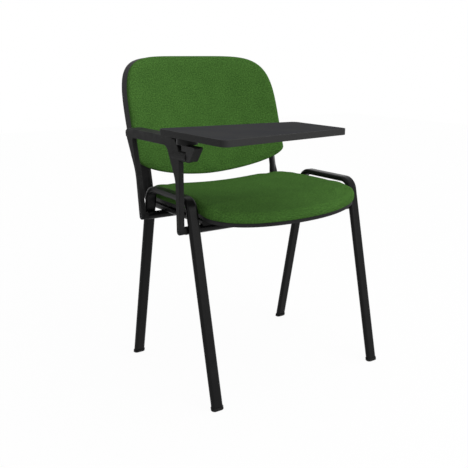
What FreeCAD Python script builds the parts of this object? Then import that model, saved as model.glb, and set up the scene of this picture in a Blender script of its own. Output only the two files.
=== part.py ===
import FreeCAD, Part
import math
import os

V = FreeCAD.Vector

# A stacking conference chair with one arm and a folding writing tablet.
# While it is built, x = 0 is the middle of the chair, y = 0 is midway between the feet, z = 0 is the floor.
# The sitter faces -y; the arm and the tablet are on the sitter's right, which is -x.

# Driving dimensions, millimetres
TOTAL_HEIGHT = 820.0
FRAME_WIDTH = 540.0
FOOT_SPREAD = 414.0
RAIL_TOP = 500.0
FRONT_LEG_LEAN = 0.230
REAR_LEG_LEAN = 0.214

# Flat-oval frame tube and round cross tube
OVAL_WIDE = 30.0
OVAL_THIN = 15.0
OVAL_WALL = 1.5
LEG_BEND = 32.0
CROSS_RADIUS = 10.0
CROSS_BORE = 8.0
CROSS_Z = 421.0
WELD_BITE = 0.6
RUN_BITE = 1.8

# Feet, threaded inserts, and cutters longer than any hole and than the chair
FOOT_HEIGHT = 8.0
FOOT_RIM = 1.5
FOOT_CHAMFER = 1.5
PLUG_GAP = 0.3
FOOT_PLUG = 28.0
INSERT_LENGTH = 22.0
THREAD_CORE_M8 = 3.4
THREAD_CORE_M6 = 2.55
THREAD_GAP = 0.1
THROUGH = 80.0
REACH = 1000.0

# Back uprights
UPRIGHT_X = 215.0
UPRIGHT_Y = 207.5
UPRIGHT_LEAN = 0.217
UPRIGHT_UPPER_LEAN = 0.31
UPRIGHT_BEND = 32.0
UPRIGHT_KNEE_BEND = 100.0
UPRIGHT_TWIST = 39.0
UPRIGHT_KNEE = 522.0
UPRIGHT_TOP = 650.0
RUN_FRONT = -103.0

# Seat, measured to the outside of the cover
SEAT_HALF = 238.0
SEAT_FRONT = 190.0
SEAT_REAR = 208.0
SEAT_SPLIT = -120.0
SEAT_FRONT_POWER = 2.0
SEAT_REAR_POWER = 7.0
SEAM_MID = 446.2
SEAM_DROP = 14.5
SEAT_DISH = 15.0
SEAT_ROLL_START = 65.0
SEAT_CROWN = 27.0
SEAT_BOLT_X = 213.0
SEAT_BOLT_Y = (-45.0, 75.0)

# Back, measured to the outside of the cover
BACK_HALF = 246.0
BACK_BOTTOM = 490.5
BACK_SPLIT = 554.0
BACK_TOP_POWER = 5.5
BACK_BOTTOM_POWER = 1.75
BACK_Y = 271.5
BACK_LEAN = 0.308
BACK_SAG = 49.0
BACK_SEAM = 14.0
BACK_DEPTH = 49.0
BACK_SHELL_INSET = 3.0
BACK_BOARD_HALF = 170.0
BACK_BOARD_Z = (568.0, 745.0)

# Upholstery layers
COVER = 1.6
LAYER_GAP = 0.4
FOAM_GAP = 0.7
SHELL_WALL = 3.0
SEAT_BOARD = 8.0
BACK_BOARD = 9.0

# Arm on the sitter's right
ARM_X = -282.5
LIMB_WIDE = 13.0
RAIL_WIDE = 45.0
RAIL_TOP_Z = 642.0
RAIL_UNDER_Z = 619.0
ARM_REAR = 182.0
ARM_FRONT = -103.0
ARM_NOSE = 42.0
PAD_FRONT = -87.0

# Tablet mechanism: a level barrel for the flip and an upright stud for the swivel
PIVOT_X = -280.0
PIVOT_Z = 601.0
BARREL_RADIUS = 12.5
BARREL_FRONT = -134.0
PIN_RADIUS = 6.0
RUNNING_GAP = 0.05
BUSH_RADIUS = 8.0
SWIVEL_X = -275.0
SWIVEL_Y = -116.0
STUD_RADIUS = 4.0
LUG_TOP = 627.4
DISC_RADIUS = 25.0
DISC_UNDER = 628.5

# Tablet
TABLET_TOP = 660.0
TABLET_THICK = 15.0
TABLET_OUTER_X = -310.0
TABLET_INNER_X = 62.0
TABLET_MID_Y = -181.0
TABLET_OUTER_DEEP = 280.0
TABLET_INNER_DEEP = 195.0
TABLET_ROUND = 15.0
TABLET_TIGHT = 14.0
EDGE_BAND = 2.0

SIDE_X = FRAME_WIDTH / 2 - OVAL_WIDE / 2
RAIL_Z = RAIL_TOP - OVAL_THIN / 2
FOOT_Y = FOOT_SPREAD / 2
TABLET_UNDER = TABLET_TOP - TABLET_THICK
X_AXIS = V(1, 0, 0)
Y_AXIS = V(0, 1, 0)
Z_AXIS = V(0, 0, 1)


def wire(*curves):
    return Part.Wire([curve.toShape() for curve in curves])


def oval(centre, wide_dir, thin_dir, wide, thin):
    """Flat-oval outline: two straight sides joined by half-round ends."""
    radius = thin / 2
    flat = wide / 2 - radius
    a = centre + wide_dir * flat + thin_dir * radius
    b = centre - wide_dir * flat + thin_dir * radius
    c = centre - wide_dir * flat - thin_dir * radius
    d = centre + wide_dir * flat - thin_dir * radius
    near = centre - wide_dir * (flat + radius)
    far = centre + wide_dir * (flat + radius)
    return wire(Part.LineSegment(a, b), Part.Arc(b, near, c), Part.LineSegment(c, d), Part.Arc(d, far, a))


def corner_arc(before, corner, after, radius):
    """Tangent arc that rounds a corner: its start, middle and end points."""
    back = (before - corner).normalize()
    ahead = (after - corner).normalize()
    half = back.getAngle(ahead) / 2
    reach = radius / math.tan(half)
    inward = (back + ahead).normalize()
    middle = corner + inward * (radius / math.sin(half) - radius)
    return corner + back * reach, middle, corner + ahead * reach


def bent_path(points, radii):
    """Straight runs between the points, with a tangent arc at each inner point."""
    curves = []
    start = points[0]
    for before, corner, after, radius in zip(points, points[1:], points[2:], radii):
        first, middle, last = corner_arc(before, corner, after, radius)
        curves += [Part.LineSegment(start, first), Part.Arc(first, middle, last)]
        start = last
    curves.append(Part.LineSegment(start, points[-1]))
    return wire(*curves)


def rounded_face(corners):
    """Flat face inside a closed outline of (point, radius) corners; radius 0 keeps a corner sharp."""
    points = [point for point, radius in corners]
    curves = []
    ends = []
    for i, (corner, radius) in enumerate(corners):
        if radius:
            first, middle, last = corner_arc(points[i - 1], corner, points[(i + 1) % len(points)], radius)
            ends.append((first, Part.Arc(first, middle, last), last))
        else:
            ends.append((corner, None, corner))
    for i, (first, arc, last) in enumerate(ends):
        following = ends[(i + 1) % len(ends)][0]
        if arc:
            curves.append(arc)
        if last.distanceToPoint(following) > 1e-6:
            curves.append(Part.LineSegment(last, following))
    return Part.Face(wire(*curves))


def sweep(path, profile):
    return path.makePipeShell([profile], True, False)


def cylinder(radius, start, direction, length):
    return Part.makeCylinder(radius, length, start, direction)


def mirrored(shape):
    return shape.mirror(V(0, 0, 0), X_AXIS)


def drilled(shape, *cutters):
    for cutter in cutters:
        shape = shape.cut(cutter)
    return shape


def front_leg_y(z):
    return -FOOT_Y + FRONT_LEG_LEAN * z


def rear_leg_y(z):
    return FOOT_Y - REAR_LEG_LEAN * z


# Side frames: one bent length of tube each, two legs and a top rail

def side_path():
    below = -FOOT_PLUG
    corners = [V(SIDE_X, front_leg_y(below), below), V(SIDE_X, front_leg_y(RAIL_Z), RAIL_Z)]
    corners += [V(SIDE_X, rear_leg_y(RAIL_Z), RAIL_Z), V(SIDE_X, rear_leg_y(below), below)]
    return bent_path(corners, [LEG_BEND, LEG_BEND])


def side_bar(shrink):
    """The side frame's bar, drawn in by shrink all round and cut level above the feet."""
    path = side_path()
    start = path.Vertexes[0].Point
    along = V(0, FRONT_LEG_LEAN, 1).normalize()
    thin_dir = along.cross(X_AXIS)
    profile = oval(start, X_AXIS, thin_dir, OVAL_WIDE - 2 * shrink, OVAL_THIN - 2 * shrink)
    floor_side = Part.makeBox(REACH, REACH, REACH, V(0, -REACH / 2, FOOT_HEIGHT - REACH))
    return sweep(path, profile).cut(floor_side)


def foot(leg_y, lean):
    """Glide with a chamfered sole, and a plug that fills the end of the leg."""
    def outline(z, grow):
        return oval(V(SIDE_X, leg_y(z), z), X_AXIS, Y_AXIS, OVAL_WIDE + 2 * grow, OVAL_THIN + 2 * grow)

    levels = [(0, FOOT_RIM - FOOT_CHAMFER), (FOOT_CHAMFER, FOOT_RIM), (FOOT_HEIGHT, FOOT_RIM)]
    glide = Part.makeLoft([outline(z, grow) for z, grow in levels], True, True)
    inside = -OVAL_WALL - PLUG_GAP
    plug = Part.Face(outline(FOOT_HEIGHT, inside)).extrude(V(0, lean * FOOT_PLUG, FOOT_PLUG))
    return glide.fuse(plug).removeSplitter()


# Cross tubes: welded behind the front legs and in front of the rear legs

def cross_y(leg_y, lean, side):
    face = leg_y(CROSS_Z) + side * OVAL_THIN / 2 * math.hypot(1, lean)
    return face + side * (CROSS_RADIUS - WELD_BITE)


FRONT_CROSS_Y = cross_y(front_leg_y, FRONT_LEG_LEAN, 1)
REAR_CROSS_Y = cross_y(rear_leg_y, REAR_LEG_LEAN, -1)


def cross_tube(y, welded_to):
    start = V(-FRAME_WIDTH / 2, y, CROSS_Z)
    tube = cylinder(CROSS_RADIUS, start, X_AXIS, FRAME_WIDTH)
    bore = cylinder(CROSS_BORE, start, X_AXIS, FRAME_WIDTH)
    return drilled(tube, bore, *welded_to)


def tube_inserts():
    """Plugs with an M8 thread, drawn at its core, in all four ends of the cross tubes."""
    solids = []
    for y in (FRONT_CROSS_Y, REAR_CROSS_Y):
        for side in (-1, 1):
            mouth = V(side * FRAME_WIDTH / 2, y, CROSS_Z)
            inward = X_AXIS * -side
            body = cylinder(CROSS_BORE - RUNNING_GAP, mouth, inward, INSERT_LENGTH)
            solids.append(body.cut(cylinder(THREAD_CORE_M8, mouth, inward, INSERT_LENGTH)))
    return Part.makeCompound(solids)


# Back uprights: a run under the seat, a bend, a twist and a straight upper end inside the back

RUN_Z = CROSS_Z + CROSS_RADIUS - RUN_BITE + OVAL_THIN / 2
TWIST_END = RAIL_TOP
TWIST_STEPS = 4
RUNNER_HEAD = 2.5
RUNNER_STEM = 15.0


def upright_y(z):
    lower = UPRIGHT_Y + UPRIGHT_LEAN * (min(z, UPRIGHT_KNEE) - RAIL_TOP)
    return lower + UPRIGHT_UPPER_LEAN * max(0.0, z - UPRIGHT_KNEE)


def upright_point(z):
    return V(UPRIGHT_X, upright_y(z), z)


def upright_oval(z, turn, grow):
    """Section square to the lower upright, turned about it so that its face looks outwards."""
    along = V(0, UPRIGHT_LEAN, 1).normalize()
    across = along.cross(X_AXIS)
    angle = math.radians(turn)
    wide_dir = X_AXIS * math.cos(angle) + across * math.sin(angle)
    thin_dir = across * math.cos(angle) - X_AXIS * math.sin(angle)
    return oval(upright_point(z), wide_dir, thin_dir, OVAL_WIDE + 2 * grow, OVAL_THIN + 2 * grow)


def upright_lower(grow):
    """The run under the seat and the bend that turns it upwards."""
    corner = V(UPRIGHT_X, upright_y(RUN_Z), RUN_Z)
    turn = math.pi / 2 - math.atan(UPRIGHT_LEAN)
    bend_end = RUN_Z + UPRIGHT_BEND * math.tan(turn / 2) * math.cos(math.atan(UPRIGHT_LEAN)) + 1
    start = V(UPRIGHT_X, RUN_FRONT, RUN_Z)
    path = bent_path([start, corner, upright_point(bend_end)], [UPRIGHT_BEND])
    run = sweep(path, oval(start, X_AXIS, Z_AXIS, OVAL_WIDE + 2 * grow, OVAL_THIN + 2 * grow))
    return run, bend_end


def upright_upper(grow, high=UPRIGHT_TOP):
    points = [upright_point(z) for z in (TWIST_END, UPRIGHT_KNEE, high)]
    return sweep(bent_path(points, [UPRIGHT_KNEE_BEND]), upright_oval(TWIST_END, UPRIGHT_TWIST, grow))


def upright_bar(grow):
    run, bend_end = upright_lower(grow)
    steps = [i / TWIST_STEPS for i in range(TWIST_STEPS + 1)]
    twist = Part.makeLoft([upright_oval(bend_end + (TWIST_END - bend_end) * t, UPRIGHT_TWIST * t, grow)
                           for t in steps], True, False)
    return run.fuse([twist, upright_upper(grow)]).removeSplitter()


def seat_bolt_places():
    return [V(SEAT_BOLT_X, y, RUN_Z) for y in SEAT_BOLT_Y]


def runner_plug():
    """Push-in cap for the open front end of an upright's run."""
    face = V(UPRIGHT_X, RUN_FRONT, RUN_Z)
    head = Part.Face(oval(face, X_AXIS, Z_AXIS, OVAL_WIDE, OVAL_THIN)).extrude(Y_AXIS * -RUNNER_HEAD)
    inside = 2 * (OVAL_WALL + PLUG_GAP)
    core = oval(face, X_AXIS, Z_AXIS, OVAL_WIDE - inside, OVAL_THIN - inside)
    stem = Part.Face(core).extrude(Y_AXIS * RUNNER_STEM)
    return head.fuse(stem).removeSplitter()


# Upholstered layers: curved sheets, each cut to a rounded outline

OUTLINE_STEPS = 720
OUTLINE_POINTS = 72
STRAIGHT = 0.02
SHEET_SPARE = 24.0
SHEET_LOW = 300.0


def superellipse(half, low, high, low_power, high_power):
    """Evenly spaced points on an outline with its own length and power on each side of its widest place."""
    dense = []
    for i in range(OUTLINE_STEPS + 1):
        across = math.cos(2 * math.pi * i / OUTLINE_STEPS)
        along = math.sin(2 * math.pi * i / OUTLINE_STEPS)
        length, power = (low, low_power) if along < 0 else (high, high_power)
        dense.append(V(half * math.copysign(abs(across) ** (2 / power), across),
                       length * math.copysign(abs(along) ** (2 / power), along), 0))
    points = []
    gone = 0.0
    step = sum(a.distanceToPoint(b) for a, b in zip(dense, dense[1:])) / OUTLINE_POINTS
    for a, b in zip(dense, dense[1:]):
        length = a.distanceToPoint(b)
        while len(points) < OUTLINE_POINTS and len(points) * step <= gone + length:
            points.append(a + (b - a) * ((len(points) * step - gone) / length))
        gone += length
    return points


def outline_prism(points, along):
    """Straight-sided block on a closed outline of short arcs, each through three of the points."""
    curves = []
    for i in range(0, len(points), 2):
        first, middle, last = points[i], points[i + 1], points[(i + 2) % len(points)]
        bulge = middle.distanceToLine(first, last - first)
        curves.append(Part.Arc(first, middle, last) if bulge > STRAIGHT else Part.LineSegment(first, last))
    return Part.Face(wire(*curves)).extrude(along)


def sheet_section(at, half, near, far):
    """Section of a sheet between two parabolas, each given by its (middle, edge)."""
    ends = [at(-half, near[1]), at(half, near[1]), at(half, far[1]), at(-half, far[1])]
    low = Part.BezierCurve()
    low.setPoles([ends[0], at(0, 2 * near[0] - near[1]), ends[1]])
    high = Part.BezierCurve()
    high.setPoles([ends[2], at(0, 2 * far[0] - far[1]), ends[3]])
    return wire(low, Part.LineSegment(ends[1], ends[2]), high, Part.LineSegment(ends[3], ends[0]))


def seam_height(x, y):
    """Surface where the seat's cover meets its shell: dished across, rolled down at the front."""
    roll = max(0.0, (-y - SEAT_ROLL_START) / (SEAT_FRONT - SEAT_ROLL_START))
    return SEAM_MID - SEAM_DROP * roll ** 2 + SEAT_DISH * (1 - roll ** 2) * (x / SEAT_HALF) ** 2


def seat_layer(inset, low, high):
    """Seat layer inside the outline, between two heights over the seam."""
    half = SEAT_HALF + SHEET_SPARE
    sections = []
    for y in SEAT_STATIONS:
        mid = seam_height(0, y)
        edge = seam_height(half, y)
        sections.append(sheet_section(lambda a, b, y=y: V(a, y, b), half, (mid + low, edge + low),
                                      (mid + high, edge + high)))
    sheet = Part.makeLoft(sections, True, False)
    outline = superellipse(SEAT_HALF - inset, SEAT_FRONT + SEAT_SPLIT - inset, SEAT_REAR - SEAT_SPLIT - inset,
                           SEAT_FRONT_POWER, SEAT_REAR_POWER)
    points = [point + V(0, SEAT_SPLIT, SHEET_LOW) for point in outline]
    return sheet.common(outline_prism(points, Z_AXIS * SHEET_LOW))


SEAT_STATIONS = (-214.0, -190.0, -165.0, -140.0, -115.0, -90.0, -65.0, -40.0, 0.0, 80.0, 160.0, 232.0)
SEAT_SHELL_DEPTH = 10.0
SEAT_SHELL_INSET = 5.5
SEAT_BOARD_INSET = 13.0
SEAT_BOARD_UNDER = SHELL_WALL + 1.2 - SEAT_SHELL_DEPTH
SEAT_BOARD_TOP = SEAT_BOARD_UNDER + SEAT_BOARD
SEAT_PAD = 10.0
OVERSHOOT = 6.0
HEM = 1.0
HEM_WIDE = 7.0
TEE_BARREL = 4.0
TEE_FLANGE = 8.0
TEE_FLANGE_THICK = 1.2
TEE_LENGTH = 8.0
TEE_ROOM = 12.0
SEAT_BOLT_HEAD = 6.0
SEAT_BOLT_HEAD_DEEP = 4.0
SEAT_BOLT_HOLE = 3.3
TIP_GAP = 2.0


def seat_shell():
    """Shallow tray under the seat, with a flat pad round each bolt that rests on the uprights' runs."""
    outer = seat_layer(SEAT_SHELL_INSET, -SEAT_SHELL_DEPTH, 0)
    inside = SEAT_SHELL_INSET + SHELL_WALL
    inner = seat_layer(inside, SHELL_WALL - SEAT_SHELL_DEPTH, OVERSHOOT)
    run_top = Z_AXIS * (OVAL_THIN / 2)
    pads = [cylinder(SEAT_PAD, place + run_top, Z_AXIS, SHELL_WALL + 1) for place in seat_bolt_places()]
    holes = [cylinder(TEE_BARREL + LAYER_GAP, place, Z_AXIS, THROUGH) for place in seat_bolt_places()]
    shell = outer.fuse(pads + [mirrored(pad) for pad in pads]).removeSplitter().cut(inner)
    return drilled(shell, *holes, *[mirrored(hole) for hole in holes])


def seat_board():
    board = seat_layer(SEAT_BOARD_INSET, SEAT_BOARD_UNDER, SEAT_BOARD_TOP)
    for hole, recess in zip(tee_barrels(RUNNING_GAP), tee_recesses()):
        board = drilled(board, hole, recess, mirrored(hole), mirrored(recess))
    return board


def seat_fill(gap):
    """The space inside the seat cover, drawn in by gap all round; its floor is the top of the board."""
    skin = COVER + gap
    return seat_layer(skin, SEAT_BOARD_TOP + gap, SEAT_CROWN - skin)


def seat_foam():
    return seat_fill(FOAM_GAP)


def seat_cover():
    """Fabric over the foam, with a hem turned in under its edge."""
    outer = seat_layer(0, LAYER_GAP, SEAT_CROWN)
    opening = seat_layer(HEM_WIDE, -OVERSHOOT, OVERSHOOT)
    return drilled(outer, seat_fill(0), opening)


TEE_SINK = 1.0
TEE_TOP = SEAT_BOARD_TOP - TEE_SINK


def tee_seat(place):
    return V(place.x, place.y, seam_height(place.x, place.y) + TEE_TOP)


def tee_barrels(gap):
    return [cylinder(TEE_BARREL + gap, tee_seat(p) - Z_AXIS * TEE_ROOM, Z_AXIS, TEE_ROOM + TEE_SINK)
            for p in seat_bolt_places()]


def tee_recesses():
    return [cylinder(TEE_FLANGE + LAYER_GAP, tee_seat(p) - Z_AXIS * TEE_FLANGE_THICK, Z_AXIS, OVERSHOOT)
            for p in seat_bolt_places()]


def seat_tee_nuts():
    """Flanged nuts let into the top of the seat board, M6 thread drawn at its core."""
    solids = []
    for place in seat_bolt_places():
        top = tee_seat(place)
        foot = top - Z_AXIS * TEE_LENGTH
        flange = cylinder(TEE_FLANGE, top - Z_AXIS * TEE_FLANGE_THICK, Z_AXIS, TEE_FLANGE_THICK)
        nut = flange.fuse(cylinder(TEE_BARREL, foot, Z_AXIS, TEE_LENGTH)).removeSplitter()
        nut = nut.cut(cylinder(THREAD_CORE_M6, foot, Z_AXIS, TEE_LENGTH))
        solids += [nut, mirrored(nut)]
    return Part.makeCompound(solids)


def seat_bolts():
    """Pan-head bolts from under the uprights' runs up into the tee nuts."""
    solids = []
    for place in seat_bolt_places():
        under = place - Z_AXIS * (OVAL_THIN / 2)
        head = cylinder(SEAT_BOLT_HEAD, under, Z_AXIS * -1, SEAT_BOLT_HEAD_DEEP)
        top = tee_seat(place).z - TIP_GAP
        shank = cylinder(THREAD_CORE_M6 - THREAD_GAP, under, Z_AXIS, top - under.z)
        bolt = head.fuse(shank).removeSplitter()
        solids += [bolt, mirrored(bolt)]
    return Part.makeCompound(solids)


# Back: layers of the same kind, sliced level

BACK_MID = (TOTAL_HEIGHT + BACK_BOTTOM) / 2


def back_face(x, z):
    """Front of the back before its edges roll over: leaning, and wrapped round the sitter."""
    return BACK_Y + BACK_LEAN * (z - BACK_MID) - BACK_SAG * (x / BACK_HALF) ** 2


def back_sheet(front, rear):
    """Curved sheet between two depths behind the face, taller and wider than the back."""
    half = BACK_HALF + SHEET_SPARE
    low = BACK_BOTTOM - SHEET_SPARE
    mid = back_face(0, low)
    edge = back_face(half, low)
    near = (mid + front, edge + front)
    far = (mid + rear, edge + rear)
    section = sheet_section(lambda a, b: V(a, b, low), half, near, far)
    return Part.Face(section).extrude(V(0, BACK_LEAN, 1) * (TOTAL_HEIGHT + SHEET_SPARE - low))


def back_layer(inset, front, rear):
    """Back layer inside the outline, between two depths behind the face."""
    outline = superellipse(BACK_HALF - inset, BACK_SPLIT - BACK_BOTTOM - inset,
                           TOTAL_HEIGHT - BACK_SPLIT - inset, BACK_BOTTOM_POWER, BACK_TOP_POWER)
    points = [V(point.x, 0, BACK_SPLIT + point.y) for point in outline]
    return back_sheet(front, rear).common(outline_prism(points, Y_AXIS * REACH))


BACK_BOARD_FRONT = 24.5
BACK_SCREW_X = 120.0
BACK_SCREW_Z = (600.0, 715.0)
BACK_SCREW_SEAT = 38.0
UPRIGHT_SCREW_DROP = 52.0
UPRIGHT_SCREW_REACH = 20.0
UPRIGHT_SCREW_SINK = 0.8
UPRIGHT_SCREW_TIP = 18.0
BACK_SCREW_TIP = 9.0
PILLAR_LENGTH = 30.0
PILLAR_GAP = 2.7
SCREW_SHANK = 2.0
SCREW_HEAD = 4.0
SCREW_HEAD_DEEP = 2.2
PILLAR = 7.0


def upright_room():
    """Space kept free round the uprights' upper ends."""
    room = upright_upper(FOAM_GAP, UPRIGHT_TOP + FOAM_GAP)
    return [room, mirrored(room)]


def back_screw_places():
    """Points on the back's face in front of the screws that hold shell and board together."""
    return [V(side * BACK_SCREW_X, back_face(BACK_SCREW_X, z), z) for side in (-1, 1) for z in BACK_SCREW_Z]


def upright_screw_places():
    """Points on the shell behind each upright, where its locking screw goes in."""
    z = UPRIGHT_TOP - UPRIGHT_SCREW_DROP
    y = back_face(UPRIGHT_X, z) + BACK_DEPTH - BACK_SHELL_INSET - UPRIGHT_SCREW_SINK
    return [V(side * UPRIGHT_X, y, z) for side in (-1, 1)]


def back_shell_skin(inset, front):
    return back_layer(inset, front, BACK_DEPTH - inset)


def back_shell():
    """Rear shell with a cut-out up each side for the uprights and four pillars that end behind the board."""
    outer = back_shell_skin(BACK_SHELL_INSET, BACK_SEAM)
    inner = back_shell_skin(BACK_SHELL_INSET + SHELL_WALL, BACK_SEAM - OVERSHOOT)
    shell = outer.cut(inner).cut(upright_room())
    pillar_start = Y_AXIS * (BACK_BOARD_FRONT + BACK_BOARD + PILLAR_GAP)
    pillars = [cylinder(PILLAR, place + pillar_start, Y_AXIS, PILLAR_LENGTH) for place in back_screw_places()]
    shell = shell.fuse([pillar.common(outer) for pillar in pillars])
    cutters = []
    for place in back_screw_places():
        cutters.append(cylinder(SCREW_SHANK + THREAD_GAP, place, Y_AXIS, THROUGH))
        cutters.append(cylinder(SCREW_HEAD + LAYER_GAP, place + Y_AXIS * BACK_SCREW_SEAT, Y_AXIS, THROUGH))
    for place in upright_screw_places():
        shank = cylinder(SCREW_SHANK + THREAD_GAP, place - Y_AXIS * UPRIGHT_SCREW_REACH, Y_AXIS, THROUGH)
        cutters.append(shank.fuse(cylinder(SCREW_HEAD + LAYER_GAP, place, Y_AXIS, THROUGH)))
    return drilled(shell, *cutters)


def back_slab(grow, front, rear):
    """Curved slab of the board's outline between two depths behind the face."""
    half = BACK_BOARD_HALF + grow
    low, high = BACK_BOARD_Z
    block = Part.makeBox(2 * half, REACH, high - low + 2 * grow, V(-half, 0, low - grow))
    return back_sheet(front, rear).common(block)


def back_board():
    slab = back_slab(0, BACK_BOARD_FRONT, BACK_BOARD_FRONT + BACK_BOARD)
    holes = [cylinder(SCREW_SHANK + THREAD_GAP, place, Y_AXIS, THROUGH) for place in back_screw_places()]
    return drilled(slab, *holes)


def back_fill(gap):
    """The space inside the back cover, drawn in by gap all round."""
    skin = COVER + gap
    rear = BACK_SEAM - LAYER_GAP - HEM - gap
    return back_layer(skin, skin, rear)


def back_foam():
    """Thin at the edges, where it meets the shell's rim, and thick in front of the board."""
    wrap = back_fill(FOAM_GAP)
    rear = BACK_BOARD_FRONT - LAYER_GAP
    core = back_slab(0, BACK_SEAM / 2, rear)
    return drilled(wrap.fuse(core), *upright_room()).removeSplitter()


def back_cover():
    """Fabric over the foam, with a hem turned in along the shell's rim and notches for the uprights."""
    rim = BACK_SEAM - LAYER_GAP
    outer = back_layer(0, 0, rim)
    opening = back_layer(HEM_WIDE, rim - OVERSHOOT, rim + OVERSHOOT)
    return drilled(outer, back_fill(0), opening, *upright_room())


def pan_screw(seat, tip, direction):
    """Pan-head screw whose head rests on seat; direction points from the head to the tip."""
    head = cylinder(SCREW_HEAD, seat, direction * -1, SCREW_HEAD_DEEP)
    return head.fuse(cylinder(SCREW_SHANK, seat, direction, tip)).removeSplitter()


def back_screws():
    return Part.makeCompound([pan_screw(place + Y_AXIS * BACK_SCREW_SEAT, BACK_SCREW_TIP, Y_AXIS * -1)
                              for place in back_screw_places()])


def upright_screws():
    return Part.makeCompound([pan_screw(place, UPRIGHT_SCREW_TIP, Y_AXIS * -1)
                              for place in upright_screw_places()])


# Arm: two limbs and a rail in one moulding, with the barrel of the tablet's pivot

LIMB_DEEP = 18.0
LIMB_FOOT = 412.0
LIMB_FOOT_ROUND = 8.5
LIMB_EDGE = 2.5
BOSS_RADIUS = 9.0
REAR_KNEE_Z = 533.0
REAR_KNEE_Y = 119.0
REAR_LIMB_DEEP = 12.0
KNEE_ROUND = 120.0
LOOP_REAR = 136.0
LOOP_REAR_ROUND = 6.0
LOOP_FRONT = -42.0
LOOP_FRONT_ROUND = 24.0
FRONT_KNEE_Z = 540.0
FRONT_KNEE_STEP = 2.0
FRONT_KNEE_ROUND = 70.0
RAIL_END_ROUND = 13.0
PAD_NOSE = 17.0
PAD_FOOT_ROUND = 3.0
PAD_TOP_ROUND = 8.0
PAD_UNDER_ROUND = 4.0
BUSH_REAR = -79.0
WASHER = 1.2
WASHER_RADIUS = 6.8
BOLT_HEAD = 4.2
BOLT_HEAD_RADIUS = 6.4
BOLT_HEAD_ROUND = 2.2
BOLT_SOCKET = 2.9
BOLT_SOCKET_DEEP = 2.6
BOLT_SHANK = 4.0
BOLT_HOLE = 4.2
BOLT_END_GAP = 4.0
HEAD_SINK = 7.2
BARREL_TAIL = 9.0
BUSH_END_GAP = 1.0
STOP_Y = -105.0
STOP_RADIUS = 2.4
STOP_HOLE = 20.0
STOP_SINK = 0.5
GROOVE_RADIUS = 4.0
GROOVE_GAP = 0.3


def arm_side(points):
    x = ARM_X - LIMB_WIDE / 2
    return rounded_face([(V(x, y, z), radius) for y, z, radius in points])


def arm_rear_y(z):
    """Rear edge of the arm above its knee, a straight line up to the rail's end."""
    knee = REAR_KNEE_Y + REAR_LIMB_DEEP / 2
    return knee + (ARM_REAR - knee) * (z - REAR_KNEE_Z) / (RAIL_TOP_Z - REAR_KNEE_Z)


def arm_plate():
    half = LIMB_DEEP / 2
    front = FRONT_CROSS_Y - half
    outline = [(front, LIMB_FOOT, LIMB_FOOT_ROUND), (front, RAIL_TOP_Z, ARM_NOSE)]
    outline += [(ARM_REAR, RAIL_TOP_Z, RAIL_END_ROUND)]
    outline += [(REAR_KNEE_Y + REAR_LIMB_DEEP / 2, REAR_KNEE_Z, KNEE_ROUND)]
    outline += [(REAR_CROSS_Y + half, LIMB_FOOT, LIMB_FOOT_ROUND)]
    outline += [(REAR_CROSS_Y - half, LIMB_FOOT, LIMB_FOOT_ROUND)]
    outline += [(REAR_KNEE_Y - REAR_LIMB_DEEP / 2, REAR_KNEE_Z, KNEE_ROUND)]
    outline += [(LOOP_REAR, RAIL_UNDER_Z, LOOP_REAR_ROUND), (LOOP_FRONT, RAIL_UNDER_Z, LOOP_FRONT_ROUND)]
    outline += [(FRONT_CROSS_Y + half + FRONT_KNEE_STEP, FRONT_KNEE_Z, FRONT_KNEE_ROUND)]
    outline += [(FRONT_CROSS_Y + half, LIMB_FOOT, LIMB_FOOT_ROUND)]
    plate = arm_side(outline).extrude(X_AXIS * LIMB_WIDE)
    rim = [edge for edge in plate.Edges if edge.BoundBox.XLength < 1e-3]
    return plate.makeFillet(LIMB_EDGE, rim)


def arm_pad():
    """The wide rail on top, flush with the limbs on the outside and rounded along its edges."""
    outline = [(PAD_FRONT, RAIL_UNDER_Z, PAD_FOOT_ROUND), (PAD_FRONT, RAIL_TOP_Z, PAD_NOSE)]
    outline += [(ARM_REAR, RAIL_TOP_Z, RAIL_END_ROUND)]
    outline += [(arm_rear_y(RAIL_UNDER_Z), RAIL_UNDER_Z, PAD_FOOT_ROUND)]
    outer = ARM_X - LIMB_WIDE / 2
    inner = outer + RAIL_WIDE
    blank = arm_side(outline).extrude(X_AXIS * RAIL_WIDE)
    y = PAD_FRONT - PAD_NOSE
    section = [(V(outer, y, RAIL_UNDER_Z), LIMB_EDGE), (V(outer, y, RAIL_TOP_Z), PAD_TOP_ROUND)]
    section += [(V(inner, y, RAIL_TOP_Z), PAD_TOP_ROUND), (V(inner, y, RAIL_UNDER_Z), PAD_UNDER_ROUND)]
    return blank.common(rounded_face(section).extrude(Y_AXIS * REACH))


def pivot_at(y):
    return V(PIVOT_X, y, PIVOT_Z)


def arm_bolt_axes():
    return [V(ARM_X, y, CROSS_Z) for y in (FRONT_CROSS_Y, REAR_CROSS_Y)]


def arm_bolt_seat(axis):
    """Floor of the pocket in the limb that sinks a bolt's washer and head."""
    return V(ARM_X - LIMB_WIDE / 2 + WASHER + BOLT_HEAD, axis.y, axis.z)


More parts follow.
